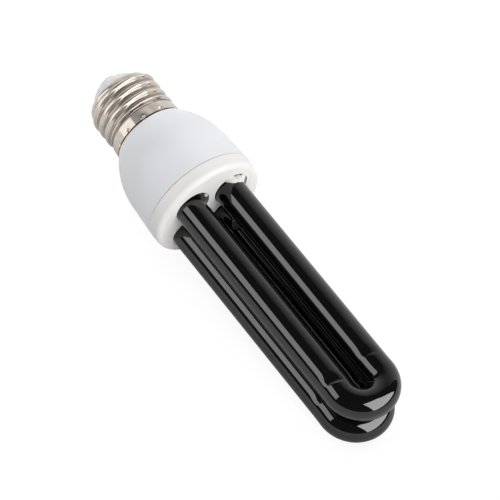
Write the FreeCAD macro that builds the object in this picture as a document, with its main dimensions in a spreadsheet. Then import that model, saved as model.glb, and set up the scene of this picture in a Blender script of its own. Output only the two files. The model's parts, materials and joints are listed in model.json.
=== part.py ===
import FreeCAD, Part
import Sketcher
import math
import os
from types import SimpleNamespace

# A double-U black light lamp with a screw cap, lying on a table.
# Every piece is drawn along the lamp's own axis: z = 0 where the cap meets the housing, the tube towards +z,
# x across the two legs of a U and y from the lower U to the upper one. One placement then lays the lamp down.

# Driving sizes in millimetres, and one count
SIZES = {
    # Screw cap, measured back from the neck
    "thread_crest_radius": 13.1,
    "thread_depth": 1.0,
    "thread_pitch": 3.629,
    "thread_turns": 3.1,
    "thread_land": 0.429,
    "thread_bite": 0.15,
    "shell_wall": 0.45,
    "skirt_flare": 0.2,
    "skirt_waist": 0.2,
    "skirt_length": 4.5,
    "skirt_step": 0.8,
    "shoulder_offset": 0.15,
    "shoulder_rise": 0.55,
    "shoulder_arc_radius": 2.4,
    "lip_depth": 2.55,
    "lip_draw": 2.05,
    "insulator_seat_depth": 2.6,
    "insulator_height": 4.85,
    "insulator_end_radius": 5.4,
    "insulator_arc_radius": 9.2,
    "contact_radius": 4.8,
    "contact_thickness": 0.8,
    "contact_edge": 0.4,
    "solder_radius": 2.3,
    "solder_height": 1.1,
    "lead_hole_radius": 0.8,
    # Ballast housing
    "neck_step": 0.2,
    "neck_floor": 1.2,
    "dome_height": 17.0,
    "dome_arc_radius": 30.1,
    "rim_height": 29.2,
    "rim_radius": 20.55,
    "rim_flare": 0.65,
    "seat_wall": 0.65,
    "housing_wall": 1.6,
    "spigot_length": 8.0,
    "spigot_wall": 1.2,
    # Tube cover
    "seam_gap": 0.2,
    "cover_overlap": 0.1,
    "cover_taper": 0.2,
    "cover_height": 5.4,
    "cover_edge_radius": 2.0,
    "cover_wall": 1.5,
    "plug_wall": 0.7,
    "hole_clearance": 1.175,
    "hole_span_offset": 0.17,
    "hole_rise_offset": 0.15,
    # Discharge tube, which sits a little to one side in its holes
    "tube_radius": 5.325,
    "leg_gap": 5.09,
    "row_gap": 2.73,
    "tube_shift": 0.9,
    "tube_reach": 84.7,
    "pinch_clearance": 0.4,
    "foot_length": 3.0,
    "foot_end_radius": 2.2,
    "pinch_width": 8.2,
    "pinch_thickness": 2.6,
    "pinch_length": 3.6,
    "bridge_radius": 3.4,
    "bridge_rise": 8.7,
    "cement_depth": 3.2,
    "cement_sink": 0.3,
    # Ballast board and the parts on it
    "fit_gap": 0.1,
    "board_height": 20.6,
    "board_thickness": 1.6,
    "wire_radius": 0.3,
    "pin_width": 0.8,
    "pin_height": 3.4,
    "choke_length": 10.8,
    "choke_depth": 5.6,
    "choke_height": 10.4,
    "choke_leg": 2.6,
    "bobbin_width": 12.6,
    "bobbin_wall": 0.6,
    "winding_margin": 0.3,
    "toroid_outer_radius": 4.0,
    "toroid_inner_radius": 2.2,
    "toroid_height": 3.6,
    "turn_thickness": 0.6,
    "turn_count": 8,
    "smoothing_radius": 4.0,
    "smoothing_height": 14.0,
    "smoothing_edge": 0.5,
    "film_length": 6.4,
    "film_width": 3.2,
    "film_height": 5.6,
    "film_edge": 0.5,
    "disc_radius": 2.5,
    "disc_thickness": 2.0,
    "transistor_radius": 2.3,
    "transistor_flat": 1.3,
    "transistor_height": 4.6,
    "transistor_stand": 1.4,
    "transistor_pitch": 1.27,
    "diode_radius": 1.3,
    "diode_length": 4.6,
    "resistor_radius": 0.95,
    "resistor_length": 3.4,
    "diac_radius": 0.8,
    "diac_length": 2.6,
    "axial_overhang": 0.8,
    "lead_clearance": 0.2,
    "fuse_radius": 1.5,
    "fuse_length": 8.0,
    "fuse_depth": 6.0,
    "shell_lead_reach": 6.8,
    "shell_lead_drop": 1.6,
    "filament_lead_spread": 2.0,
    "filament_lead_rise": 2.0,
}

# Places near the middle of the board: x, y, and the angle that the part is turned by
SMOOTHING_PLACE = (4.9, 0.0, 0.0)
START_RESISTOR_PLACE = (-0.2, 4.0, 90.0)
DIAC_PLACE = (-0.2, -3.4, 90.0)

# Places near the housing's wall: how far in from its bore, the direction from the axis, and the angle
CHOKE_PLACE = (8.9, 180.0, 0.0)
TOROID_PLACE = (5.9, -91.0, 0.0)
FILM_PLACES = {"resonant_capacitor": (6.5, 111.0, 0.0), "coupling_capacitor": (4.7, -135.0, 0.0)}
SNUBBER_PLACE = (2.8, 66.5, 0.0)
TRANSISTOR_PLACES = [(7.4, 71.5, 0.0), (5.1, 42.0, -40.0)]
BASE_RESISTOR_PLACES = [(3.6, 14.0, 14.0), (3.6, 142.0, 0.0)]
DIODE_ANGLES = [-56.0, -41.0, -26.0, -11.0]
SHELL_LEAD_ANGLE = -54.0
# Wrap pins: how far in from the cover's bore, the direction, and the side of the electrode leg
# that the pin's lead comes from: -1 outer, 1 inner
PINS = [(2.4, 144.0, -1), (2.9, 172.0, 1), (2.4, -144.0, -1), (2.9, -172.0, 1)]

FULL_TURN = 360.0
HALF_TURN = 180.0
QUARTER_TURN = 90.0
X_AXIS = FreeCAD.Vector(1, 0, 0)
Y_AXIS = FreeCAD.Vector(0, 1, 0)
Z_AXIS = FreeCAD.Vector(0, 0, 1)


class Size:
    """A size of the sheet, or a sum of such sizes, as an expression and as its present value."""

    def __init__(self, text, value):
        self.text = text
        self.value = value

    @staticmethod
    def of(other):
        return other if isinstance(other, Size) else Size(repr(float(other)), float(other))

    def joined(self, sign, other, value):
        return Size(f"({self.text} {sign} {Size.of(other).text})", value)

    def __add__(self, other):
        return self.joined("+", other, self.value + Size.of(other).value)

    def __sub__(self, other):
        return self.joined("-", other, self.value - Size.of(other).value)

    def __mul__(self, other):
        return self.joined("*", other, self.value * Size.of(other).value)

    def __truediv__(self, other):
        return self.joined("/", other, self.value / Size.of(other).value)

    def __neg__(self):
        return Size(f"(0 - {self.text})", -self.value)

    def root(self):
        return Size(f"sqrt({self.text})", math.sqrt(self.value))


doc = FreeCAD.newDocument("black_light_lamp")
sheet = doc.addObject("Spreadsheet::Sheet", "Sizes")
for row, (name, value) in enumerate(SIZES.items(), start=1):
    sheet.set(f"A{row}", name)
    sheet.set(f"B{row}", str(value))
    sheet.setAlias(f"B{row}", name)
doc.recompute()
size = SimpleNamespace(**{name: Size(f"Sizes.{name}", float(sheet.get(name))) for name in SIZES})

# Radii and heights that several pieces share
thread_root_radius = size.thread_crest_radius - size.thread_depth
thread_base_width = size.thread_pitch - size.thread_land
thread_run_out_z = -(size.skirt_length + size.skirt_step)
thread_start_z = thread_run_out_z - thread_base_width / 2 - size.thread_pitch * size.thread_turns
shoulder_z = thread_start_z - size.shoulder_offset
lip_z = shoulder_z - size.lip_depth
insulator_end_z = lip_z - size.insulator_height
contact_end_z = insulator_end_z - size.contact_thickness
skirt_edge_radius = size.thread_crest_radius + size.skirt_flare
skirt_end_radius = size.thread_crest_radius - size.skirt_waist
lip_radius = thread_root_radius - size.lip_draw
shell_bore = thread_root_radius - size.shell_wall
skirt_edge_bore = skirt_edge_radius - size.shell_wall
skirt_end_bore = skirt_end_radius - size.shell_wall
lip_bore = lip_radius - size.shell_wall
spigot_radius = shell_bore - size.fit_gap
spigot_bore = spigot_radius - size.spigot_wall
neck_radius = skirt_edge_radius + size.neck_step
dome_radius = size.rim_radius - size.rim_flare
dome_bore = dome_radius - size.housing_wall
seat_radius = dome_radius - size.seat_wall
board_radius = seat_radius - size.fit_gap
board_top = size.board_height + size.board_thickness
plug_bore = board_radius - size.plug_wall
cover_radius = size.rim_radius + size.cover_overlap
cover_end_radius = cover_radius - size.cover_taper
cover_start = size.rim_height + size.seam_gap
cover_face = cover_start + size.cover_height
cover_inside = cover_face - size.cover_wall
leg_half_span = size.tube_radius + size.leg_gap / 2
leg_half_rise = size.tube_radius + size.row_gap / 2
left_leg_x = -(leg_half_span + size.tube_shift)
right_leg_x = leg_half_span - size.tube_shift
hole_radius = size.tube_radius + size.hole_clearance
hole_half_span = leg_half_span - size.hole_span_offset
hole_half_rise = leg_half_rise + size.hole_rise_offset
bend_z = cover_face + size.tube_reach
bridge_z = cover_face + size.bridge_rise
pinch_end = board_top + size.pin_height + size.pinch_clearance
foot_z = pinch_end + size.pinch_length

nodes = []


def number(amount):
    return amount.value if isinstance(amount, Size) else float(amount)


def bind(item, prop, amount):
    """Tie a property of an object to the sheet."""
    item.setExpression(prop, Size.of(amount).text)


def keep(item, label, seat=FreeCAD.Placement()):
    """Name a finished piece and note its place in the lamp's own frame."""
    item.Label = label
    nodes.append((item, seat))


def beside(bore, inset, direction):
    """Point that keeps its distance from a round wall, as x and y."""
    reach = bore.value - inset
    angle = math.radians(direction)
    return reach * math.cos(angle), reach * math.sin(angle)


def by_wall(place):
    """Place of a part near the housing's wall, as x, y and angle."""
    inset, direction, angle = place
    return *beside(dome_bore, inset, direction), angle


def under_board(place):
    """Placement of a part that hangs under the board, with its own z towards the cap."""
    x, y, angle = place
    turn = FreeCAD.Rotation(Z_AXIS, angle).multiply(FreeCAD.Rotation(X_AXIS, HALF_TURN))
    return FreeCAD.Placement(FreeCAD.Vector(x, y, size.board_height.value), turn)


# Sketches and features

def new_body(name):
    return doc.addObject("PartDesign::Body", name)


def new_sketch(body, plane, offset=0.0):
    """A sketch on one of the body's origin planes, moved along the plane's normal by offset."""
    support = next(item for item in body.Origin.OriginFeatures if item.Role == plane)
    sketch = body.newObject("Sketcher::SketchObject", "Sketch")
    sketch.AttachmentSupport = [(support, "")]
    sketch.MapMode = "FlatFace"
    bind(sketch, ".AttachmentOffset.Base.z", offset)
    return sketch


def hold(sketch, edge, end, x, y):
    """Hold one point of an edge at x, y from the sketch's origin."""
    for kind, axis, amount in (("DistanceX", -2, x), ("DistanceY", -1, y)):
        if not isinstance(amount, Size) and amount == 0:
            sketch.addConstraint(Sketcher.Constraint("PointOnObject", edge, end, axis))
        else:
            index = sketch.addConstraint(Sketcher.Constraint(kind, -1, 1, edge, end, number(amount)))
            bind(sketch, f"Constraints[{index}]", amount)


def hold_radius(sketch, edge, radius):
    index = sketch.addConstraint(Sketcher.Constraint("Radius", edge, number(radius)))
    bind(sketch, f"Constraints[{index}]", radius)


def arc_between(start, end, radius):
    """Arc from start to end that turns to the left."""
    chord = end - start
    normal = FreeCAD.Vector(-chord.y, chord.x, 0).normalize()
    rise = math.sqrt(max(radius ** 2 - (chord.Length / 2) ** 2, 0.0))
    centre = (start + end) / 2 + normal * rise
    from_angle = math.atan2(start.y - centre.y, start.x - centre.x)
    to_angle = math.atan2(end.y - centre.y, end.x - centre.x)
    return Part.ArcOfCircle(Part.Circle(centre, Z_AXIS, radius), from_angle, to_angle)


def outline(sketch, corners):
    """Closed outline. A corner is x, y, or x, y, radius where an arc to the left leads to it."""
    points = [FreeCAD.Vector(number(corner[0]), number(corner[1]), 0) for corner in corners]
    edges = []
    for i, corner in enumerate(corners):
        start, end = points[i - 1], points[i]
        if len(corner) == 2:
            edge = Part.LineSegment(start, end)
        else:
            edge = arc_between(start, end, number(corner[2]))
        edges.append(sketch.addGeometry(edge, False))
    for i, corner in enumerate(corners):
        next_edge = edges[(i + 1) % len(edges)]
        sketch.addConstraint(Sketcher.Constraint("Coincident", edges[i], 2, next_edge, 1))
        hold(sketch, edges[i], 2, corner[0], corner[1])
        if len(corner) > 2:
            hold_radius(sketch, edges[i], corner[2])


def circle(sketch, x, y, radius):
    centre = FreeCAD.Vector(number(x), number(y), 0)
    edge = sketch.addGeometry(Part.Circle(centre, Z_AXIS, number(radius)), False)
    hold(sketch, edge, 3, x, y)
    hold_radius(sketch, edge, radius)


def rectangle(sketch, half_x, low_y, high_y, x=0.0):
    left, right = Size.of(x) - half_x, Size.of(x) + half_x
    outline(sketch, [(left, low_y), (right, low_y), (right, high_y), (left, high_y)])


def revolve(body, corners):
    """Turn an outline in the body's x-z plane about the z axis."""
    sketch = new_sketch(body, "XZ_Plane")
    outline(sketch, corners)
    feature = body.newObject("PartDesign::Revolution", "Revolution")
    feature.Profile = sketch
    feature.ReferenceAxis = (sketch, ["V_Axis"])
    feature.Angle = FULL_TURN
    doc.recompute()


def turn_away(body, corners):
    """Cut what an outline in the body's x-z plane sweeps about the z axis, and stop if nothing was cut."""
    before = body.Shape.Volume
    sketch = new_sketch(body, "XZ_Plane")
    outline(sketch, corners)
    feature = body.newObject("PartDesign::Groove", "Groove")
    feature.Profile = sketch
    feature.ReferenceAxis = (sketch, ["V_Axis"])
    feature.Angle = FULL_TURN
    doc.recompute()
    if body.Shape.Volume >= before:
        raise RuntimeError(f"nothing was cut from {body.Name}")


def pad(body, sketch, length, middle=False):
    feature = body.newObject("PartDesign::Pad", "Pad")
    feature.Profile = sketch
    feature.Midplane = middle
    bind(feature, "Length", length)
    doc.recompute()
    return feature


def pocket(body, sketch, length):
    """Cut from the sketch towards its plane's back, and stop if nothing was cut."""
    before = body.Shape.Volume
    feature = body.newObject("PartDesign::Pocket", "Pocket")
    feature.Profile = sketch
    bind(feature, "Length", length)
    doc.recompute()
    if body.Shape.Volume >= before:
        raise RuntimeError(f"nothing was cut from {body.Name}")


def cylinder(radius, height, base=(0.0, 0.0, 0.0), rotation=FreeCAD.Rotation()):
    item = doc.addObject("Part::Cylinder", "Cylinder")
    bind(item, "Radius", radius)
    bind(item, "Height", height)
    place(item, base, rotation)
    return item


def ball(radius, base):
    item = doc.addObject("Part::Sphere", "Sphere")
    bind(item, "Radius", radius)
    place(item, base)
    return item


def box(length, width, height, base):
    item = doc.addObject("Part::Box", "Box")
    bind(item, "Length", length)
    bind(item, "Width", width)
    bind(item, "Height", height)
    place(item, base)
    return item


def place(item, base, rotation=FreeCAD.Rotation()):
    item.Placement.Rotation = rotation
    for axis, amount in zip("xyz", base):
        bind(item, f".Placement.Base.{axis}", amount)


def fuse(name, items):
    item = doc.addObject("Part::MultiFuse", name)
    item.Shapes = items
    item.Refine = True
    return item


# Screw cap

def screw_shell():
    """A rolled shell. Its thread runs down onto the round shoulder, so both are turned to one outline."""
    body = new_body("ScrewShell")
    revolve(body, [
        (skirt_edge_radius, -size.fit_gap),
        (skirt_end_radius, -size.skirt_length),
        (thread_root_radius, thread_run_out_z),
        (thread_root_radius, lip_z),
        (lip_bore, lip_z),
        (shell_bore, shoulder_z),
        (shell_bore, thread_run_out_z),
        (skirt_end_bore, -size.skirt_length),
        (skirt_edge_bore, -size.fit_gap),
    ])
    ridge = new_sketch(body, "XZ_Plane")
    ridge_foot = thread_root_radius - size.thread_bite
    outline(ridge, [
        (ridge_foot, thread_start_z - thread_base_width / 2),
        (size.thread_crest_radius, thread_start_z),
        (ridge_foot, thread_start_z + thread_base_width / 2),
    ])
    thread = body.newObject("PartDesign::AdditiveHelix", "Thread")
    thread.Profile = ridge
    thread.ReferenceAxis = (ridge, ["V_Axis"])
    thread.Mode = "pitch-turns-angle"
    bind(thread, "Pitch", size.thread_pitch)
    bind(thread, "Turns", size.thread_turns)
    doc.recompute()
    clear_radius = size.thread_crest_radius + size.thread_depth
    clear_z = lip_z - size.thread_depth
    turn_away(body, [
        (lip_radius, lip_z),
        (thread_root_radius, shoulder_z, size.shoulder_arc_radius),
        (size.thread_crest_radius, shoulder_z + size.shoulder_rise),
        (clear_radius, shoulder_z + size.shoulder_rise),
        (clear_radius, clear_z),
        (lip_radius, clear_z),
    ])
    keep(body, "screw_shell")


def cap_insulator():
    body = new_body("CapInsulator")
    seat_top = shoulder_z + size.insulator_seat_depth
    seat = shell_bore - size.fit_gap
    revolve(body, [
        (size.lead_hole_radius, seat_top),
        (size.lead_hole_radius, insulator_end_z),
        (size.insulator_end_radius, insulator_end_z),
        (lip_bore - size.fit_gap, lip_z, size.insulator_arc_radius),
        (seat, shoulder_z),
        (seat, seat_top),
    ])
    keep(body, "cap_insulator")


def centre_contact():
    body = new_body("CentreContact")
    eyelet = size.solder_radius + size.fit_gap
    revolve(body, [
        (eyelet, insulator_end_z),
        (eyelet, contact_end_z),
        (size.contact_radius - size.contact_edge, contact_end_z),
        (size.contact_radius, contact_end_z + size.contact_edge),
        (size.contact_radius, insulator_end_z),
    ])
    keep(body, "centre_contact")


def contact_solder():
    """The bead that fills the contact's eyelet, on the end of the centre lead."""
    body = new_body("ContactSolder")
    height, reach = size.solder_height, size.solder_radius
    dome = (reach * reach + height * height) / (height * 2)
    revolve(body, [
        (0.0, insulator_end_z),
        (0.0, contact_end_z - height),
        (reach, contact_end_z, dome),
        (reach, insulator_end_z),
    ])
    keep(body, "contact_solder")


# Housing and cover

def ballast_housing():
    """A domed shell. Its inner wall runs straight to and from a point behind the middle of the dome's arc."""
    body = new_body("BallastHousing")
    arc_radius = size.dome_arc_radius
    spread = dome_radius - neck_radius
    chord = (spread * spread + size.dome_height * size.dome_height).root()
    bulge = arc_radius - (arc_radius * arc_radius - chord * chord / 4).root()
    inset = (size.housing_wall - bulge) / chord
    middle_radius = (neck_radius + dome_radius) / 2 - size.dome_height * inset
    middle_z = size.dome_height / 2 + spread * inset
    revolve(body, [
        (spigot_bore, -size.spigot_length),
        (spigot_radius, -size.spigot_length),
        (spigot_radius, thread_run_out_z),
        (skirt_end_bore - size.fit_gap, -size.skirt_length),
        (skirt_edge_bore - size.fit_gap, 0.0),
        (neck_radius, 0.0),
        (dome_radius, size.dome_height, arc_radius),
        (size.rim_radius, size.rim_height),
        (seat_radius, size.rim_height),
        (seat_radius, size.board_height),
        (dome_bore, size.board_height),
        (dome_bore, size.dome_height),
        (middle_radius, middle_z),
        (neck_radius - size.housing_wall, size.neck_floor),
        (spigot_bore, size.neck_floor),
    ])
    keep(body, "ballast_housing")


def tube_cover():
    body = new_body("TubeCover")
    plug_end = board_top + size.fit_gap
    edge = size.cover_edge_radius
    revolve(body, [
        (0.0, cover_inside),
        (plug_bore, cover_inside),
        (plug_bore, plug_end),
        (board_radius, plug_end),
        (board_radius, cover_start),
        (cover_radius, cover_start),
        (cover_end_radius, cover_face - edge),
        (cover_end_radius - edge, cover_face, edge),
        (0.0, cover_face),
    ])
    holes = new_sketch(body, "XY_Plane", cover_face)
    for x in (-hole_half_span, hole_half_span):
        for y in (-hole_half_rise, hole_half_rise):
            circle(holes, x, y, hole_radius)
    pocket(body, holes, size.cover_wall + size.fit_gap)
    keep(body, "tube_cover")


# Discharge tube and its cement

def discharge_tube():
    items = []
    to_y = FreeCAD.Rotation(X_AXIS, -QUARTER_TURN)
    leg_length = bend_z - foot_z
    for y in (-leg_half_rise, leg_half_rise):
        for x in (left_leg_x, right_leg_x):
            items.append(cylinder(size.tube_radius, leg_length, (x, y, foot_z)))
        bend = doc.addObject("Part::Torus", "Bend")
        bind(bend, "Radius1", leg_half_span)
        bind(bend, "Radius2", size.tube_radius)
        bend.Angle3 = HALF_TURN
        place(bend, (-size.tube_shift, y, bend_z), FreeCAD.Rotation(X_AXIS, QUARTER_TURN))
        items.append(bend)
        pinch_base = (left_leg_x - size.pinch_width / 2, y - size.pinch_thickness / 2, pinch_end)
        items.append(box(size.pinch_width, size.pinch_thickness, size.pinch_length, pinch_base))
        foot = doc.addObject("Part::Cone", "Foot")
        bind(foot, "Radius1", size.foot_end_radius)
        bind(foot, "Radius2", size.tube_radius)
        bind(foot, "Height", size.foot_length)
        place(foot, (right_leg_x, y, foot_z - size.foot_length))
        items.append(foot)
    bridge_base = (right_leg_x, -leg_half_rise, bridge_z)
    items.append(cylinder(size.bridge_radius, leg_half_rise * 2, bridge_base, to_y))
    keep(fuse("DischargeTube", items), "discharge_tube")


def tube_cement():
    body = new_body("TubeCement")
    floor = new_sketch(body, "XY_Plane", cover_inside - size.cement_depth)
    circle(floor, 0.0, 0.0, plug_bore - size.fit_gap)
    pad(body, floor, size.cement_depth)
    bead = new_sketch(body, "XY_Plane", cover_inside)
    circle(bead, hole_half_span, hole_half_rise, hole_radius - size.fit_gap)
    pad(body, bead, size.cover_wall - size.cement_sink)
    legs = new_sketch(body, "XY_Plane", cover_face)
    for x in (left_leg_x, right_leg_x):
        for y in (-leg_half_rise, leg_half_rise):
            circle(legs, x, y, size.tube_radius + size.fit_gap)
    pocket(body, legs, size.cover_wall + size.cement_depth + size.fit_gap)
    keep(body, "tube_cement")


# Ballast

def circuit_board():
    body = new_body("CircuitBoard")
    sketch = new_sketch(body, "XY_Plane", size.board_height)
    circle(sketch, 0.0, 0.0, board_radius)
    pad(body, sketch, size.board_thickness)
    keep(body, "circuit_board")


def choke():
    seat = under_board(by_wall(CHOKE_PLACE))
    leg = size.choke_leg
    half_length = size.choke_length / 2
    window_top = size.choke_height - leg / 2
    core = new_body("ChokeCore")
    sketch = new_sketch(core, "XZ_Plane")
    rectangle(sketch, half_length, 0.0, size.choke_height)
    window_half = (size.choke_length - leg * 2) / 4
    for side in (-1, 1):
        rectangle(sketch, window_half, leg / 2, window_top, (leg / 2 + window_half) * side)
    pad(core, sketch, size.choke_depth, middle=True)
    keep(core, "choke_core", seat)

    bobbin = new_body("ChokeBobbin")
    low = leg / 2 + size.fit_gap
    high = window_top - size.fit_gap
    flange_half = half_length - leg / 2 - size.fit_gap
    tube_half_x = leg / 2 + size.fit_gap + size.bobbin_wall
    tube_half_y = size.choke_depth / 2 + size.fit_gap + size.bobbin_wall
    half_width = size.bobbin_width / 2
    tube = new_sketch(bobbin, "XY_Plane", low)
    rectangle(tube, tube_half_x, -tube_half_y, tube_half_y)
    pad(bobbin, tube, high - low)
    for start in (low, high - size.bobbin_wall):
        flange = new_sketch(bobbin, "XY_Plane", start)
        rectangle(flange, flange_half, -half_width, half_width)
        pad(bobbin, flange, size.bobbin_wall)
    hole = new_sketch(bobbin, "XY_Plane", high)
    hole_half_y = tube_half_y - size.bobbin_wall
    rectangle(hole, tube_half_x - size.bobbin_wall, -hole_half_y, hole_half_y)
    pocket(bobbin, hole, high - low)
    keep(bobbin, "choke_bobbin", seat)

    winding = new_body("ChokeWinding")
    turns = new_sketch(winding, "XY_Plane", low + size.bobbin_wall)
    turns_half_y = half_width - size.winding_margin
    rectangle(turns, flange_half - size.winding_margin, -turns_half_y, turns_half_y)
    rectangle(turns, tube_half_x, -tube_half_y, tube_half_y)
    pad(winding, turns, high - low - size.bobbin_wall * 2)
    keep(winding, "choke_winding", seat)


def toroid():
    seat = under_board(by_wall(TOROID_PLACE))
    low = size.turn_thickness + size.fit_gap
    high = low + size.toroid_height
    core = new_body("ToroidCore")
    revolve(core, [
        (size.toroid_inner_radius, low),
        (size.toroid_outer_radius, low),
        (size.toroid_outer_radius, high),
        (size.toroid_inner_radius, high),
    ])
    keep(core, "toroid_core", seat)

    turns = new_body("ToroidWindings")
    turns.AllowCompound = True
    sketch = new_sketch(turns, "XZ_Plane")
    middle = (size.toroid_inner_radius + size.toroid_outer_radius) / 2
    inner_half = (size.toroid_outer_radius - size.toroid_inner_radius) / 2 + size.fit_gap
    inner_high = high + size.fit_gap
    rectangle(sketch, inner_half, low - size.fit_gap, inner_high, middle)
    rectangle(sketch, inner_half + size.turn_thickness, 0.0, inner_high + size.turn_thickness, middle)
    turn = pad(turns, sketch, size.turn_thickness, middle=True)
    pattern = turns.newObject("PartDesign::PolarPattern", "Turns")
    pattern.Originals = [turn]
    pattern.Axis = (sketch, ["V_Axis"])
    pattern.Angle = FULL_TURN
    bind(pattern, "Occurrences", size.turn_count)
    turns.Tip = pattern
    keep(turns, "toroid_windings", seat)


def smoothing_capacitor():
    body = new_body("SmoothingCapacitor")
    edge = size.smoothing_edge
    reach, height = size.smoothing_radius, size.smoothing_height
    revolve(body, [
        (0.0, 0.0),
        (reach - edge, 0.0),
        (reach, edge),
        (reach, edge * 3),
        (reach - edge, edge * 4),
        (reach, edge * 5),
        (reach, height - edge),
        (reach - edge, height),
        (0.0, height),
    ])
    keep(body, "smoothing_capacitor", under_board(SMOOTHING_PLACE))


def film_capacitors():
    for label, spot in FILM_PLACES.items():
        body = new_body("FilmCapacitor")
        sketch = new_sketch(body, "XY_Plane")
        rectangle(sketch, size.film_length / 2, -size.film_width / 2, size.film_width / 2)
        block = pad(body, sketch, size.film_height)
        edges = body.newObject("PartDesign::Chamfer", "Edges")
        edges.Base = (block, [f"Edge{i + 1}" for i in range(len(block.Shape.Edges))])
        bind(edges, "Size", size.film_edge)
        keep(body, label, under_board(by_wall(spot)))


def snubber_capacitor():
    body = new_body("SnubberCapacitor")
    sketch = new_sketch(body, "XZ_Plane")
    circle(sketch, 0.0, size.disc_radius, size.disc_radius)
    pad(body, sketch, size.disc_thickness, middle=True)
    keep(body, "snubber_capacitor", under_board(by_wall(SNUBBER_PLACE)))


def transistors():
    radius, flat = size.transistor_radius, size.transistor_flat
    half_chord = (radius * radius - flat * flat).root()
    for count, spot in enumerate(TRANSISTOR_PLACES, start=1):
        body = new_body("Transistor")
        case = new_sketch(body, "XY_Plane", size.transistor_stand)
        outline(case, [(half_chord, -flat), (0.0, radius, radius), (-half_chord, -flat, radius)])
        pad(body, case, size.transistor_height)
        for x in (-size.transistor_pitch, 0.0, size.transistor_pitch):
            leg = new_sketch(body, "XY_Plane")
            rectangle(leg, size.wire_radius, -size.wire_radius, size.wire_radius, x)
            pad(body, leg, size.transistor_stand)
        keep(body, f"switching_transistor_{count}", under_board(by_wall(spot)))


def axial_part(label, spot, radius, length):
    """A round part that lies on the board, with a square lead bent down at each end."""
    along = FreeCAD.Rotation(Y_AXIS, QUARTER_TURN)
    half_pitch = length / 2 + size.axial_overhang
    half_lead = size.wire_radius
    lead = half_lead * 2
    half_run = half_pitch + half_lead
    items = [
        cylinder(radius, length, (-length / 2, 0.0, radius), along),
        box(half_run * 2, lead, lead, (-half_run, -half_lead, radius - half_lead)),
    ]
    for x in (-half_pitch, half_pitch):
        items.append(box(lead, lead, radius, (x - half_lead, -half_lead, 0.0)))
    keep(fuse("AxialPart", items), label, under_board(spot))


def axial_parts():
    diode_inset = size.lead_clearance + size.wire_radius + size.axial_overhang + size.diode_length / 2
    for count, angle in enumerate(DIODE_ANGLES, start=1):
        spot = by_wall((diode_inset.value, angle, angle))
        axial_part(f"rectifier_diode_{count}", spot, size.diode_radius, size.diode_length)
    axial_part("start_resistor", START_RESISTOR_PLACE, size.resistor_radius, size.resistor_length)
    for count, spot in enumerate(BASE_RESISTOR_PLACES, start=1):
        axial_part(f"base_resistor_{count}", by_wall(spot), size.resistor_radius, size.resistor_length)
    axial_part("trigger_diac", DIAC_PLACE, size.diac_radius, size.diac_length)


# Leads

def fuse_resistor():
    """The lead on the lamp's axis, from the board to the contact's solder, with the fuse resistor in it."""
    body = new_body("FuseResistor")
    fuse_start = -size.fuse_depth
    fuse_end = fuse_start - size.fuse_length
    revolve(body, [
        (0.0, insulator_end_z),
        (size.wire_radius, insulator_end_z),
        (size.wire_radius, fuse_end),
        (size.fuse_radius, fuse_end),
        (size.fuse_radius, fuse_start),
        (size.wire_radius, fuse_start),
        (size.wire_radius, size.board_height),
        (0.0, size.board_height),
    ])
    keep(body, "fuse_resistor")


def bent_lead(label, start, drop, run, seat):
    """A wire that goes straight down from start and then out along x."""
    x, z = start
    turn_z = z - drop
    items = [
        cylinder(size.wire_radius, drop, (x, 0.0, turn_z)),
        ball(size.wire_radius, (x, 0.0, turn_z)),
        cylinder(size.wire_radius, run, (x, 0.0, turn_z), FreeCAD.Rotation(Y_AXIS, QUARTER_TURN)),
    ]
    keep(fuse("Lead", items), label, seat)


def shell_lead():
    drop = size.board_height + size.spigot_length + size.shell_lead_drop
    run = shell_bore - size.shell_lead_reach - size.fit_gap
    seat = FreeCAD.Placement(FreeCAD.Vector(), FreeCAD.Rotation(Z_AXIS, SHELL_LEAD_ANGLE))
    bent_lead("shell_lead", (size.shell_lead_reach, size.board_height), drop, run, seat)


def pins_and_filament_leads():
    lead_z = board_top + size.filament_lead_rise
    for count, (inset, direction, side) in enumerate(PINS, start=1):
        x, y = beside(plug_bore, inset, direction)
        pin = new_body("WrapPin")
        square = new_sketch(pin, "XY_Plane", board_top)
        rectangle(square, size.pin_width / 2, -size.pin_width / 2, size.pin_width / 2)
        pad(pin, square, size.pin_height)
        keep(pin, f"wrap_pin_{count}", FreeCAD.Placement(FreeCAD.Vector(x, y, 0), FreeCAD.Rotation()))
        exit_x = (left_leg_x + size.filament_lead_spread * side).value
        exit_y = math.copysign(leg_half_rise.value, y)
        pin_corner = math.hypot(size.pin_width.value, size.pin_width.value) / 2
        run = math.hypot(x - exit_x, y - exit_y) - pin_corner
        turn = FreeCAD.Rotation(Z_AXIS, math.degrees(math.atan2(y - exit_y, x - exit_x)))
        seat = FreeCAD.Placement(FreeCAD.Vector(exit_x, exit_y, 0.0), turn)
        bent_lead(f"filament_lead_{count}", (0.0, pinch_end), pinch_end - lead_z, run, seat)


def rest_placement():
    """Lay the lamp along x, on its cover's rim and its lower bend, with the origin under its middle."""
    edge = size.cover_edge_radius.value
    tube = size.tube_radius.value
    rim_y, rim_z = cover_end_radius.value - edge, cover_face.value - edge
    bend_y, top_z = leg_half_rise.value, (bend_z + leg_half_span).value
    drop, run = rim_y - bend_y, top_z - rim_z
    tilt = math.acos((tube - edge) / math.hypot(drop, run)) - math.atan2(run, drop)
    sine, cosine = math.sin(tilt), math.cos(tilt)
    height = edge + rim_y * cosine + rim_z * sine
    solder, cap = size.solder_radius.value, size.solder_height.value
    solder_ball = (solder ** 2 + cap ** 2) / (2 * cap)
    back = (contact_end_z.value - cap + solder_ball) * cosine - solder_ball
    front = top_z * cosine + bend_y * sine + tube
    up_axis, lamp_axis = FreeCAD.Vector(sine, 0, cosine), FreeCAD.Vector(cosine, 0, -sine)
    turn = FreeCAD.Rotation(Y_AXIS, up_axis, lamp_axis, "ZXY")
    return FreeCAD.Placement(FreeCAD.Vector(-(back + front) / 2, 0, height), turn)


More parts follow.
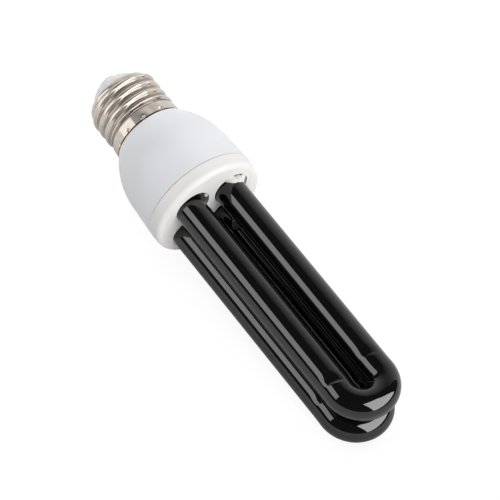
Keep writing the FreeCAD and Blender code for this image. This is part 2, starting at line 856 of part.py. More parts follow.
def check(items):
    """Stop if any object failed or any piece is not a sound solid."""
    for item in doc.Objects:
        if {"Invalid", "Error"} & set(item.State):
            raise RuntimeError(f"{item.Name} ({item.Label}) failed: {item.State}")
    for item in items:
        if item.Shape.isNull() or not item.Shape.isValid() or not item.Shape.Solids:
            raise RuntimeError(f"{item.Label} is not a sound solid")


screw_shell()
cap_insulator()
centre_contact()
contact_solder()
ballast_housing()
tube_cover()
discharge_tube()
tube_cement()
circuit_board()
choke()
toroid()
smoothing_capacitor()
film_capacitors()
snubber_capacitor()
transistors()
axial_parts()
fuse_resistor()
shell_lead()
pins_and_filament_leads()

rest = rest_placement()
for item, seat in nodes:
    item.Placement = rest.multiply(seat)
doc.recompute()
check([item for item, _ in nodes])

os.makedirs("parts", exist_ok=True)
for item, _ in nodes:
    item.Shape.exportStep(os.path.join("parts", f"{item.Label}.step"))
print(f"{len(nodes)} pieces written")
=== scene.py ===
"""Looks of a compact black light lamp: rolled screw cap, white housing and a double-U tube of black glass.

Pieces are drawn in millimetres along the lamp's own axis: z = 0 where the cap meets the housing, the tube
towards +z, x across the two legs of a U and y from the lower U to the upper one. LAMP lays them down in the
shared frame. The stage is drawn in metres, in the shared frame itself.
"""

import json
import math

import bmesh
import bpy
from mathutils import Matrix, Vector, noise


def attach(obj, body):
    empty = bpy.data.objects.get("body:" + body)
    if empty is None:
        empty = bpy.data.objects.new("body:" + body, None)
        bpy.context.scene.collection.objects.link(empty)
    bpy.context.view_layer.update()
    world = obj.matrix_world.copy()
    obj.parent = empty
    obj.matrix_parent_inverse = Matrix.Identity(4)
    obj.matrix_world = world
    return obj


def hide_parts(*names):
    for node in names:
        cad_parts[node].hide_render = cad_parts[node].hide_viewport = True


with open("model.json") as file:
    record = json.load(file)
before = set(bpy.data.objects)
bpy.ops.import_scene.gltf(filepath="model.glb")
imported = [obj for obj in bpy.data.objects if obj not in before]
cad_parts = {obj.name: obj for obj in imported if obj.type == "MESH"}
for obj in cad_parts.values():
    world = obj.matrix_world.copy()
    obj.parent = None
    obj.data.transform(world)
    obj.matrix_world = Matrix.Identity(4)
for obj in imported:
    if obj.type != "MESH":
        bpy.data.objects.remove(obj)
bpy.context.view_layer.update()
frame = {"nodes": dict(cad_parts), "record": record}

MM = 0.001
FULL_TURN = 2 * math.pi
LEFT = -1
RIGHT = 1
BODY = "root"

# Lamp sizes in millimetres
CONTACT_DEPTH = 26.5
FIT_GAP = 0.1
SHELL_WALL = 0.45
SKIRT_EDGE_RADIUS = 13.3
SKIRT_END_RADIUS = 12.9
SKIRT_LENGTH = 4.5
RUN_OUT_Z = -5.3
CREST_RADIUS = 13.1
ROOT_RADIUS = 12.1
PITCH = 3.629
CREST_Z = -18.05
SHOULDER_Z = -18.3
SHOULDER_RISE = 0.55
SHOULDER_ARC_RADIUS = 2.4
LIP_RADIUS = 10.05
LIP_Z = -20.85
COVER_FACE_Z = 34.8
HOLE_RADIUS = 6.5
HOLE_SPAN = 7.70
HOLE_RISE = 6.84
TUBE_RADIUS = 5.325
LEG_HALF_SPAN = 7.87
LEG_HALF_RISE = 6.69
BEND_Z = 119.36
FOOT_Z = 29.6
FOOT_LENGTH = 3.0
FOOT_END_RADIUS = 2.2
PINCH_LENGTH = 3.6
PINCH_ROOT_LENGTH = 1.2
PINCH_WIDTH = 8.2
PINCH_THICKNESS = 2.6
BRIDGE_RADIUS = 3.4
BRIDGE_Z = 43.5


def turned_to(x_axis, y_axis, z_axis):
    """Rotation that takes x, y and z to three directions."""
    return Matrix((x_axis, y_axis, z_axis)).transposed().to_4x4()


def lamp_matrix():
    """Lamp axes, in millimetres, to the shared frame, in metres."""
    mounts = {mount["name"]: mount for mount in frame["record"]["mounts"]}
    cap = mounts["screw_cap"]
    along = -Vector(cap["axis"]).normalized()
    across = Vector((0, 1, 0))
    upward = along.cross(across)
    origin = Vector(cap["pos_m"]) + along * CONTACT_DEPTH * MM
    return Matrix.Translation(origin) @ turned_to(across, upward, along) @ Matrix.Scale(MM, 4)


LAMP = lamp_matrix()
LAMP_AXIS = LAMP.to_3x3().col[2].normalized()


# Mesh helpers

# Edges at larger angles than these, in degrees, stay sharp
SHARP_ANGLE = 50
LUMP_SHARP_ANGLE = 60
SWEEP_SHARP_ANGLE = 30


def ring(count, point):
    """Closed loop of points, one for each angle."""
    return [Vector(point(FULL_TURN * step / count)) for step in range(count)]


def skin(rings, join_ends=False):
    """Quads between neighbouring rings, with flat ends, or with the last ring joined to the first."""
    mesh = bmesh.new()
    loops = [[mesh.verts.new(point) for point in points] for points in rings]
    pairs = list(zip(loops, loops[1:]))
    if join_ends:
        pairs.append((loops[-1], loops[0]))
    for low, high in pairs:
        for step in range(len(low)):
            after = (step + 1) % len(low)
            mesh.faces.new((low[step], low[after], high[after], high[step]))
    if not join_ends:
        mesh.faces.new(loops[0])
        mesh.faces.new(loops[-1])
    bmesh.ops.recalc_face_normals(mesh, faces=mesh.faces)
    return mesh


def new_object(name, mesh, matrix=LAMP):
    data = bpy.data.meshes.new(name)
    mesh.transform(matrix)
    mesh.to_mesh(data)
    mesh.free()
    item = bpy.data.objects.new(name, data)
    bpy.context.scene.collection.objects.link(item)
    return item


def smooth(item, sharp_angle=SHARP_ANGLE):
    for face in item.data.polygons:
        face.use_smooth = True
    item.data.set_sharp_from_angle(angle=math.radians(sharp_angle))


def dress(item, material, slot, *nodes):
    """A finished piece: its material, its body and the nodes that it stands for."""
    item.data.materials.append(material)
    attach(item, BODY)
    if nodes:
        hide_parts(*nodes)


def ease(value, low, high):
    """0 below low, 1 above high, and a smooth step between them."""
    share = min(1.0, max(0.0, (value - low) / (high - low)))
    return share * share * (3 - 2 * share)


# Material helpers

NOISE_ROUGHNESS = 0.55
# Most of a noise texture lies between these values
NOISE_LOW = 0.3
NOISE_HIGH = 0.7


class Nodes:
    """A new material and its node tree."""

    def __init__(self, name):
        self.material = bpy.data.materials.new(name)
        self.material.use_nodes = True
        self.tree = self.material.node_tree

    def feed(self, socket, value):
        """Link another node's output to a socket, or set the socket to a plain value."""
        if isinstance(value, bpy.types.NodeSocket):
            self.tree.links.new(value, socket)
        else:
            socket.default_value = value

    def add(self, kind, *values, **named_values):
        """A node of one kind, with its inputs fed in order, by name, or both."""
        node = self.tree.nodes.new("ShaderNode" + kind)
        for socket, value in zip(node.inputs, values):
            self.feed(socket, value)
        for name, value in named_values.items():
            self.feed(node.inputs[name.replace("_", " ")], value)
        return node

    def math(self, operation, *values):
        node = self.add("Math", *values)
        node.operation = operation
        return node.outputs["Value"]

    def vector_math(self, operation, *values):
        node = self.add("VectorMath", *values)
        node.operation = operation
        return node.outputs

    def spread(self, factor, low, high, start=NOISE_LOW, end=NOISE_HIGH):
        """From low to high while the factor goes from start to end."""
        node = self.add("MapRange", Value=factor, From_Min=start, From_Max=end, To_Min=low, To_Max=high)
        return node.outputs["Result"]


class Paint(Nodes):
    """A principled material and the nodes that vary it over the surface."""

    def __init__(self, name, **sockets):
        super().__init__(name)
        self.shader = self.tree.nodes["Principled BSDF"]
        for socket, value in sockets.items():
            self.shader.inputs[socket].default_value = value
        self.place = self.add("TexCoord").outputs["Object"]

    def along_lamp(self):
        """Place along the lamp's axis, in metres from its neck."""
        reach = self.vector_math("DOT_PRODUCT", self.place, LAMP_AXIS)["Value"]
        return self.math("SUBTRACT", reach, LAMP_AXIS.dot(LAMP.translation))

    def off_axis(self):
        """Distance from the lamp's axis, in metres."""
        away = self.vector_math("SUBTRACT", self.place, LAMP.translation)["Vector"]
        square = self.vector_math("CROSS_PRODUCT", away, LAMP_AXIS)["Vector"]
        return self.vector_math("LENGTH", square)["Value"]

    def noise(self, per_metre, detail=4.0):
        texture = self.add("TexNoise", Vector=self.place, Scale=per_metre, Detail=detail)
        self.feed(texture.inputs["Roughness"], NOISE_ROUGHNESS)
        return texture.outputs["Fac"]

    def cells(self, per_metre):
        return self.add("TexVoronoi", Vector=self.place, Scale=per_metre).outputs["Distance"]

    def ramp(self, factor, stops):
        node = self.add("ValToRGB", factor)
        for point, (position, colour) in zip(node.color_ramp.elements, stops):
            point.position = position
            point.color = (*colour, 1.0)
        return node.outputs["Color"]

    def mixed(self, factor, first, second):
        """The first colour where the factor is 0, the second where it is 1."""
        node = self.add("Mix", factor)
        node.data_type = "RGBA"
        colours = [socket for socket in node.inputs if socket.type == "RGBA"]
        self.feed(colours[0], first)
        self.feed(colours[1], second)
        return next(socket for socket in node.outputs if socket.type == "RGBA")

    def colour(self, shade):
        self.feed(self.shader.inputs["Base Color"], shade)

    def roughness(self, factor, low, high):
        self.feed(self.shader.inputs["Roughness"], self.spread(factor, low, high))

    def bump(self, height, strength, depth):
        """Relief of the surface, its depth in millimetres."""
        node = self.add("Bump", Height=height, Strength=strength, Distance=depth * MM)
        self.feed(self.shader.inputs["Normal"], node.outputs["Normal"])


def two_tone(first, second, start=NOISE_LOW, end=NOISE_HIGH):
    """Two stops of a ramp."""
    return [(start, first), (end, second)]


def shades(colour, low, high):
    """Two stops of one colour, a darker and a lighter one."""
    return two_tone([low * part for part in colour], [min(1.0, high * part) for part in colour])


# Materials of the visible pieces

GLASS_COLOUR = (0.0018, 0.0016, 0.0022)
HOUSING_COLOUR = (0.80, 0.81, 0.835)
COVER_COLOUR = (0.80, 0.785, 0.77)
INSULATOR_COLOUR = (0.74, 0.725, 0.735)
SOLDER_COLOUR = (0.62, 0.62, 0.63)
PLATE_TONES = two_tone((0.51, 0.455, 0.405), (0.61, 0.56, 0.51))
# Painted shade: darker tones in the thread's roots, standing in for shade and dark reflections there
ROOT_SHADE_TONES = two_tone((0.26, 0.215, 0.18), (0.34, 0.29, 0.25))
# Dark tones for the narrow line next to the housing
EDGE_DARK_TONES = two_tone((0.03, 0.025, 0.02), (0.08, 0.07, 0.06))
# Painted shade: the putty seen through the holes is made dark to stand for the shade there, with pale
# flecks
SHADED_PUTTY_TONES = two_tone((0.62, 0.58, 0.50), (0.035, 0.03, 0.025), start=0.12, end=0.22)
CEMENT_TONES = two_tone((0.77, 0.76, 0.69), (0.79, 0.775, 0.75), start=0.35, end=0.6)
# Painted shade for the cement's pits
PIT_SHADE_TONES = two_tone((0.02, 0.02, 0.018), (0.05, 0.048, 0.04))


def black_glass():
    paint = Paint("black_glass", IOR=1.52)
    paint.colour(paint.ramp(paint.noise(per_metre=140.0), shades(GLASS_COLOUR, low=0.6, high=1.5)))
    paint.roughness(paint.noise(per_metre=900.0, detail=6.0), low=0.02, high=0.05)
    paint.bump(paint.noise(per_metre=60.0, detail=1.0), strength=0.05, depth=0.4)
    return paint.material


# In millimetres: painted shade over the thread's root, its fade at the shoulder, and the dark line at the
# housing
ROOT_SHADE_RISE = 0.3
ROOT_SHADE_BLUR = 0.2
SHOULDER_BLUR = 0.3
EDGE_LINE = 0.7
EDGE_BLUR = 0.12


def nickel(name):
    """Rolled plate, with painted shade in the thread's roots, and darker in a narrow line at the housing.
    """
    paint = Paint(name, Metallic=1.0)
    cloud = paint.noise(per_metre=260.0, detail=6.0)
    root_shade_start = (ROOT_RADIUS + ROOT_SHADE_RISE) * MM
    groove = paint.spread(paint.off_axis(), 1.0, 0.0, root_shade_start, root_shade_start + ROOT_SHADE_BLUR * MM)
    thread_start = (SHOULDER_Z - SHOULDER_BLUR) * MM
    thread_full = (SHOULDER_Z + SHOULDER_BLUR) * MM
    thread = paint.spread(paint.along_lamp(), 0.0, 1.0, thread_start, thread_full)
    # Painted shade in the thread's roots, faded out at the shoulder
    root_shade = paint.math("MULTIPLY", groove, thread)
    rolled = paint.mixed(root_shade, paint.ramp(cloud, PLATE_TONES), paint.ramp(cloud, ROOT_SHADE_TONES))
    # Darker in a narrow line next to the housing
    edge = paint.spread(paint.along_lamp(), 0.0, 1.0, -(EDGE_LINE + EDGE_BLUR) * MM, -EDGE_LINE * MM)
    paint.colour(paint.mixed(edge, rolled, paint.ramp(cloud, EDGE_DARK_TONES)))
    paint.roughness(paint.noise(per_metre=1500.0, detail=8.0), low=0.09, high=0.18)
    paint.bump(paint.noise(per_metre=3000.0), strength=0.06, depth=0.1)
    return paint.material


def white_plastic(name, colour):
    paint = Paint(name, IOR=1.45)
    paint.colour(paint.ramp(paint.noise(per_metre=90.0), shades(colour, low=0.985, high=1.01)))
    paint.roughness(paint.noise(per_metre=2600.0, detail=6.0), low=0.5, high=0.64)
    paint.bump(paint.noise(per_metre=5200.0, detail=3.0), strength=0.05, depth=0.05)
    return paint.material


def cement():
    """Putty inside the cover: painted dark brown for the shade inside the holes, with pale flecks."""
    paint = Paint("cement", Roughness=0.9)
    paint.colour(paint.ramp(paint.cells(per_metre=600.0), SHADED_PUTTY_TONES))
    paint.bump(paint.noise(per_metre=2200.0, detail=8.0), strength=0.6, depth=0.3)
    return paint.material


# How far under the cover's face the painted shade in the cement's pits starts, and where it is full, in
# millimetres
PIT_SHADE_START = 0.1
PIT_SHADE_END = 0.35


def bead_cement(name, pit_shade):
    """Clean cement that has come out of a hole, with painted shade in its pits if asked for."""
    paint = Paint(name, Roughness=0.85)
    cloud = paint.noise(per_metre=500.0, detail=5.0)
    shade = paint.ramp(cloud, CEMENT_TONES)
    if pit_shade:
        # Painted shade: darker below the cover's face, in the pits
        full = (COVER_FACE_Z - PIT_SHADE_END) * MM
        clean = (COVER_FACE_Z - PIT_SHADE_START) * MM
        pit_shaded = paint.spread(paint.along_lamp(), 1.0, 0.0, full, clean)
        shade = paint.mixed(pit_shaded, shade, paint.ramp(cloud, PIT_SHADE_TONES))
    paint.colour(shade)
    paint.bump(paint.noise(per_metre=1600.0, detail=8.0), strength=0.5, depth=0.2)
    return paint.material


def insulator():
    paint = Paint("insulator", IOR=1.5)
    paint.colour(paint.ramp(paint.noise(per_metre=400.0), shades(INSULATOR_COLOUR, low=0.97, high=1.03)))
    paint.roughness(paint.noise(per_metre=1800.0), low=0.3, high=0.45)
    paint.bump(paint.noise(per_metre=1200.0), strength=0.03, depth=0.1)
    return paint.material


def solder():
    paint = Paint("solder", Metallic=1.0)
    paint.colour(paint.ramp(paint.noise(per_metre=1500.0), shades(SOLDER_COLOUR, low=0.8, high=1.1)))
    paint.roughness(paint.noise(per_metre=2500.0), low=0.3, high=0.55)
    paint.bump(paint.noise(per_metre=1800.0), strength=0.3, depth=0.2)
    return paint.material


# Materials of the pieces inside the housing

METALS = ("brass", "brushed_steel", "chrome")


def hidden_paint(entry):
    """Mottled finish in the record's own colour for a slot that nothing shows."""
    paint = Paint(entry["slot"], Metallic=1.0 if entry["class"] in METALS else 0.0)
    tones = shades(entry["base_color"][:3], low=0.75, high=1.15)
    paint.colour(paint.ramp(paint.noise(per_metre=700.0, detail=6.0), tones))
    paint.roughness(paint.noise(per_metre=1600.0), low=0.3, high=0.6)
    paint.bump(paint.noise(per_metre=2400.0, detail=6.0), strength=0.2, depth=0.1)
    return paint.material


def make_materials():
    made = {
        "black_glass": black_glass(),
        "nickel": nickel("nickel"),
        "contact": nickel("contact"),
        "housing_plastic": white_plastic("housing_plastic", HOUSING_COLOUR),
        "cover_plastic": white_plastic("cover_plastic", COVER_COLOUR),
        "cement": cement(),
        "insulator": insulator(),
        "solder": solder(),
    }
    for entry in frame["record"]["materials"]:
        if entry["slot"] not in made:
            made[entry["slot"]] = hidden_paint(entry)
    return made


MATERIALS = make_materials()


def paint_nodes():
    """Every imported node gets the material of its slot."""
    for part in frame["record"]["subparts"]:
        for place in frame["nodes"][part["node"]].material_slots:
            place.material = MATERIALS[part["material_slot"]]


# Screw shell

SHELL_SEGMENTS = 240
SHELL_STEP = 0.12
SHOULDER_STEPS = 16
THREAD_FADE = 1.5
ROLL_RISE = 0.25
DENT_COUNT = 12
DENT_ANGLE = math.radians(17)
DENT_Z = -1.25
DENT_RADIUS = 0.75
DENT_DEPTH = 0.45


def thread_height(angle, z):
    """Height of the rolled thread over its root: equal arcs on the crests and in the roots."""
    quarter = PITCH / 4
    half_depth = (CREST_RADIUS - ROOT_RADIUS - ROLL_RISE) / 2
    arc = (quarter ** 2 + half_depth ** 2) / (2 * half_depth)
    turns = (z - CREST_Z) / PITCH - angle / FULL_TURN
    off_crest = abs(turns - round(turns)) * PITCH
    if off_crest < quarter:
        return 2 * half_depth - arc + math.sqrt(arc ** 2 - off_crest ** 2)
    return arc - math.sqrt(arc ** 2 - (2 * quarter - off_crest) ** 2)


def dent(angle, z):
    """Depth of the punch marks that hold the skirt to the housing."""
    spacing = FULL_TURN / DENT_COUNT
    turns = (angle - DENT_ANGLE) / spacing
    across = (turns - round(turns)) * spacing * SKIRT_EDGE_RADIUS
    away = math.hypot(across, z - DENT_Z) / DENT_RADIUS
    return DENT_DEPTH * math.exp(-away ** 2)


def shell_radius(angle, z):
    """Outer radius of the dented skirt, its foot and the thread, which fades out at both of its ends."""
    if z > -SKIRT_LENGTH:
        share = -z / SKIRT_LENGTH
        return SKIRT_EDGE_RADIUS + share * (SKIRT_END_RADIUS - SKIRT_EDGE_RADIUS) - dent(angle, z)
    skirt_foot = ease(z, RUN_OUT_Z, -SKIRT_LENGTH) * (SKIRT_END_RADIUS - ROOT_RADIUS)
    fade_in = ease(z, SHOULDER_Z, SHOULDER_Z + SHOULDER_RISE)
    fade_out = 1 - ease(z, RUN_OUT_Z - THREAD_FADE, RUN_OUT_Z)
    thread = fade_in * fade_out * (ROLL_RISE + thread_height(angle, z))
    return ROOT_RADIUS + max(skirt_foot, thread)


def shell_ring(z, radius):
    """Ring at one height, its radius a number or a function of the angle."""
    def point(angle):
        reach = radius(angle) if callable(radius) else radius
        return reach * math.cos(angle), reach * math.sin(angle), z
    return ring(SHELL_SEGMENTS, point)


def shoulder_profile():
    """Radius and z of points on the arc between the thread's root and the lip."""
    root = Vector((ROOT_RADIUS, SHOULDER_Z))
    lip = Vector((LIP_RADIUS, LIP_Z))
    half = (root - lip) / 2
    inward = Vector((-half.y, half.x)).normalized()
    centre = (root + lip) / 2 + inward * math.sqrt(SHOULDER_ARC_RADIUS ** 2 - half.length_squared)
    start = math.atan2(*reversed(root - centre))
    end = math.atan2(*reversed(lip - centre))
    for step in range(1, SHOULDER_STEPS + 1):
        turn = start + (end - start) * step / SHOULDER_STEPS
        yield centre + SHOULDER_ARC_RADIUS * Vector((math.cos(turn), math.sin(turn)))


def screw_shell():
    """Skirt and thread, from the housing outward, then the shoulder, the lip and the plain inside."""
    rows = round((-FIT_GAP - SHOULDER_Z) / SHELL_STEP)
    rings = []
    for row in range(rows + 1):
        z = -FIT_GAP + (SHOULDER_Z + FIT_GAP) * row / rows
        rings.append(shell_ring(z, lambda angle: shell_radius(angle, z)))
    for reach, z in shoulder_profile():
        rings.append(shell_ring(z, reach))
    for z, outside in (
        (LIP_Z, LIP_RADIUS),
        (SHOULDER_Z, ROOT_RADIUS),
        (RUN_OUT_Z, ROOT_RADIUS),
        (-SKIRT_LENGTH, SKIRT_END_RADIUS),
        (-FIT_GAP, SKIRT_EDGE_RADIUS),
    ):
        rings.append(shell_ring(z, outside - SHELL_WALL))
    shell = new_object("rolled_shell", skin(rings, join_ends=True))
    smooth(shell)
    dress(shell, MATERIALS["nickel"], "nickel", "screw_shell")
    return shell


# Discharge tube

TUBE_SEGMENTS = 96
LEG_STEP = 1.0
FINE_Z = 107.5
FINE_STEP = 0.15
BEND_STEPS = 64
TUBE_YAW = math.radians(0.30)
ROOT_SHIFT = -1.07
BEND_BULGE = 0.09
BULGE_LENGTH = 4.0
NECK_ACROSS = 0.9 * TUBE_RADIUS
NECK_UP = 0.7 * TUBE_RADIUS
BRIDGE_HALF_LENGTH = 0.75 * LEG_HALF_RISE
BRIDGE_FLARE = 0.8
BRIDGE_FLARE_POWER = 4
BRIDGE_STEPS = 16

# Where each leg's crease ends, and its depth, by the leg's side and by whether it is an upper leg
CREASES = {
    (LEFT, True): (116.4, 0.37),
    (RIGHT, True): (113.8, 0.17),
    (LEFT, False): (114.8, 0.3),
    (RIGHT, False): (114.8, 0.17),
}
CREASE_RUN = 4.2
CREASE_STEP = 1.2
CREASE_SLANT = 1.6
CREASE_ANGLE = math.radians(104)
CREASE_REACH = math.radians(44)
CREASE_FULL_REACH = CREASE_REACH / 3


def tube_shift(z):
    """How far the tube stands off the lamp's axis: it leans a little from its legs' roots to its bends."""
    return ROOT_SHIFT + (z - COVER_FACE_Z) * math.tan(TUBE_YAW)


def tube_ring(x, y, z, normal, half_across, half_up):
    """Ring round one place, in the plane of y and of a normal given by its x and z."""
    def point(angle):
        across = half_across * math.cos(angle)
        up = half_up * math.sin(angle)
        return x + across * normal[0] + tube_shift(z), y + up, z + across * normal[1]
    return ring(TUBE_SEGMENTS, point)


def crease(side, y, angle, z):
    """Depth of the slanting mark that bending leaves on the upper side of each leg."""
    end, depth = CREASES[side, y > 0]
    facing = angle if side == RIGHT else math.pi - angle
    off = math.remainder(facing - CREASE_ANGLE, FULL_TURN)
    end -= CREASE_SLANT * off
    along = ease(z, end - CREASE_RUN, end) * (1 - ease(z, end, end + CREASE_STEP))
    return depth * along * (1 - ease(abs(off), CREASE_FULL_REACH, CREASE_REACH))


def leg_half_span(z):
    return LEG_HALF_SPAN + BEND_BULGE * ease(z, BEND_Z - BULGE_LENGTH, BEND_Z)


def leg_ring(side, y, z):
    def point(angle):
        reach = TUBE_RADIUS - crease(side, y, angle, z)
        across = leg_half_span(z) + reach * math.cos(angle)
        return side * across + tube_shift(z), y + reach * math.sin(angle), z
    return ring(TUBE_SEGMENTS, point)


def leg_heights():
    """Heights of a leg's rings, closer together round its crease."""
    coarse = round((FINE_Z - FOOT_Z) / LEG_STEP)
    fine = round((BEND_Z - FINE_Z) / FINE_STEP)
    heights = [FOOT_Z + (FINE_Z - FOOT_Z) * step / coarse for step in range(coarse)]
    return heights + [FINE_Z + (BEND_Z - FINE_Z) * step / fine for step in range(fine)]


def pinch_rings(y):
    """Flat pinched end of a left leg, from its tip to the leg's foot."""
    flat = (PINCH_WIDTH / 2, PINCH_THICKNESS / 2)
    neck = (NECK_ACROSS, NECK_UP)
    for depth, halves in ((PINCH_LENGTH, flat), (PINCH_ROOT_LENGTH, flat), (FIT_GAP, neck)):
        yield tube_ring(LEFT * LEG_HALF_SPAN, y, FOOT_Z - depth, (LEFT, 0), *halves)


def bend_rings(y):
    reach = leg_half_span(BEND_Z)
    for step in range(BEND_STEPS + 1):
        turn = math.pi * step / BEND_STEPS
        normal = (-math.cos(turn), math.sin(turn))
        x = reach * normal[0]
        z = BEND_Z + reach * normal[1]
        yield tube_ring(x, y, z, normal, TUBE_RADIUS, TUBE_RADIUS)


def u_tube(y):
    """One U: pinched end, left leg, bend, right leg and its tapered end."""
    heights = leg_heights()
    foot_end = FOOT_Z - FOOT_LENGTH
    return skin([
        *pinch_rings(y),
        *(leg_ring(LEFT, y, z) for z in heights),
        *bend_rings(y),
        *(leg_ring(RIGHT, y, z) for z in reversed(heights)),
        tube_ring(RIGHT * LEG_HALF_SPAN, y, foot_end, (RIGHT, 0), FOOT_END_RADIUS, FOOT_END_RADIUS),
    ])


def bridge():
    """Short neck between the right legs, which flares into both."""
    x = LEG_HALF_SPAN + tube_shift(BRIDGE_Z)
    rings = []
    for step in range(BRIDGE_STEPS + 1):
        share = 2 * step / BRIDGE_STEPS - 1
        y = share * BRIDGE_HALF_LENGTH
        reach = BRIDGE_RADIUS + BRIDGE_FLARE * share ** BRIDGE_FLARE_POWER
        rings.append(ring(TUBE_SEGMENTS, lambda angle: (
            x + reach * math.cos(angle), y, BRIDGE_Z + reach * math.sin(angle))))
    return skin(rings)


def unite(base, others):
    """One closed mesh from several that overlap."""
    for other in others:
        union = base.modifiers.new(other.name, "BOOLEAN")
        union.operation = "UNION"
        union.solver = "EXACT"
        union.object = other
    whole = bpy.data.meshes.new_from_object(base.evaluated_get(bpy.context.evaluated_depsgraph_get()))
    base.modifiers.clear()
    base.data = whole
    for other in others:
        bpy.data.objects.remove(other)


def discharge_tube():
    tube = new_object("glass_tube", u_tube(LEG_HALF_RISE))
    unite(tube, [new_object("lower_u", u_tube(-LEG_HALF_RISE)), new_object("bridge", bridge())])
    smooth(tube)
    dress(tube, MATERIALS["black_glass"], "black_glass", "discharge_tube")


# Cement bead on one side of the upper right leg

BEAD_SEGMENTS = 160
BEAD_STEPS = 12
BEAD_MIDDLE = math.radians(56)
BEAD_REACH = math.radians(64)
BEAD_TAPER = math.radians(40)
BEAD_DEPTH = 1.2
BEAD_FOOT_Z = COVER_FACE_Z - BEAD_DEPTH
BEAD_SINK = 0.5
BEAD_RISE = 0.6
BEAD_CLIMB = 2.0
BEAD_LUMP = 0.3
BEAD_LUMP_SCALE = 0.9
PIT_SHARE = 0.86
PIT_RADIUS = 0.62
PIT_DEPTH = 2.4
PIT_ANGLES = [math.radians(angle) for angle in (12, 54, 69, 75)]


def bead_point(angle, share, z):
    """Between the leg, at share 0, and the wall of its hole, at share 1."""
    inner = TUBE_RADIUS + FIT_GAP / 2
    outer = HOLE_RADIUS - FIT_GAP / 2
    leg = Vector((LEG_HALF_SPAN + tube_shift(z), LEG_HALF_RISE, z))
    hole = Vector((HOLE_SPAN, HOLE_RISE, z))
    ray = Vector((math.cos(angle), math.sin(angle), 0))
    return (leg + inner * ray).lerp(hole + outer * ray, share)


def bead_fill(angle):
    """1 in the middle of the bead, 0 beyond its ends."""
    off = abs(math.remainder(angle - BEAD_MIDDLE, FULL_TURN))
    return 1 - ease(off, BEAD_REACH - BEAD_TAPER, BEAD_REACH)


def pit_depth(place):
    """Depth of the nearest pit along the wall of the hole."""
    away = min((place - bead_point(angle, PIT_SHARE, COVER_FACE_Z)).length for angle in PIT_ANGLES)
    return PIT_DEPTH * math.exp(-(away / PIT_RADIUS) ** 2)


def bead_top(angle, share):
    """Top of the bead: it climbs the leg, and is lumpy and pitted."""
    place = bead_point(angle, share, COVER_FACE_Z)
    pit = pit_depth(place)
    lump = BEAD_LUMP * noise.noise(place * BEAD_LUMP_SCALE)
    rise = BEAD_RISE + BEAD_CLIMB * (1 - share) ** 2 + lump
    place.z += bead_fill(angle) * rise - BEAD_SINK - pit
    return place


def cement_bead():
    rings = [ring(BEAD_SEGMENTS, lambda angle: bead_point(angle, 1, BEAD_FOOT_Z))]
    for step in range(BEAD_STEPS + 1):
        share = 1 - step / BEAD_STEPS
        rings.append(ring(BEAD_SEGMENTS, lambda angle: bead_top(angle, share)))
    rings.append(ring(BEAD_SEGMENTS, lambda angle: bead_point(angle, 0, BEAD_FOOT_Z)))
    bead = new_object("cement_bead", skin(rings, join_ends=True))
    smooth(bead, LUMP_SHARP_ANGLE)
    dress(bead, bead_cement("bead_cement", pit_shade=True), "cement")


# Fleck of cement on the wall of the upper left hole

FLECK_ANGLE = math.radians(19)
FLECK_OFF_AXIS = 5.8
FLECK_Z = 33.8
FLECK_HALF = (0.65, 1.0, 0.95)
FLECK_LUMP = 0.2
FLECK_LUMP_SCALE = 2.0
FLECK_SEGMENTS = 48
FLECK_STEPS = 24


def fleck_point(angle, rise):
    """Lumpy egg: half its depth, width and height along, across and over the ray from the hole's centre."""
    level = math.cos(rise)
    unit = Vector((level * math.cos(angle), level * math.sin(angle), math.sin(rise)))
    lump = (1 + noise.noise(unit * FLECK_LUMP_SCALE)) / 2
    unit *= 1 - FLECK_LUMP * lump
    depth, width, height = (half * part for half, part in zip(FLECK_HALF, unit))
    ray = Vector((math.cos(FLECK_ANGLE), math.sin(FLECK_ANGLE), 0))
    side = Vector((-ray.y, ray.x, 0))
    over_hole = Vector((-HOLE_SPAN, HOLE_RISE, FLECK_Z + height))
    return over_hole + ray * (FLECK_OFF_AXIS + depth) + side * width


def cement_fleck():
    """Rings from pole to pole, the first and the last half a step in."""
    rings = []
    for step in range(FLECK_STEPS):
        rise = math.pi * ((step + 0.5) / FLECK_STEPS - 0.5)
        rings.append(ring(FLECK_SEGMENTS, lambda angle: fleck_point(angle, rise)))
    fleck = new_object("cement_fleck", skin(rings))
    smooth(fleck, LUMP_SHARP_ANGLE)
    dress(fleck, bead_cement("fleck_cement", pit_shade=False), "cement")


# Stage, in metres: floor and backdrop in one sweep

FLOOR_REACH = 3.0
WALL_DISTANCE = 1.9
SWEEP_RADIUS = 0.5
SWEEP_STEPS = 24
WALL_HEIGHT = 4.6
WALL_FADE_START = 0.9
WALL_AZIMUTH = math.radians(140)
PAPER_COLOUR = (0.86, 0.86, 0.86, 1.0)
PAPER_GLOW = 0.9
PAPER_SHOWN = (0.16, 0.16, 0.16, 1.0)
STUDIO_GREY = 0.09
WHITE = (1.0, 1.0, 1.0, 1.0)
COVER_SAMPLES = 8
COVER_DISTANCE = 0.15
COVER_POWER = 2.0


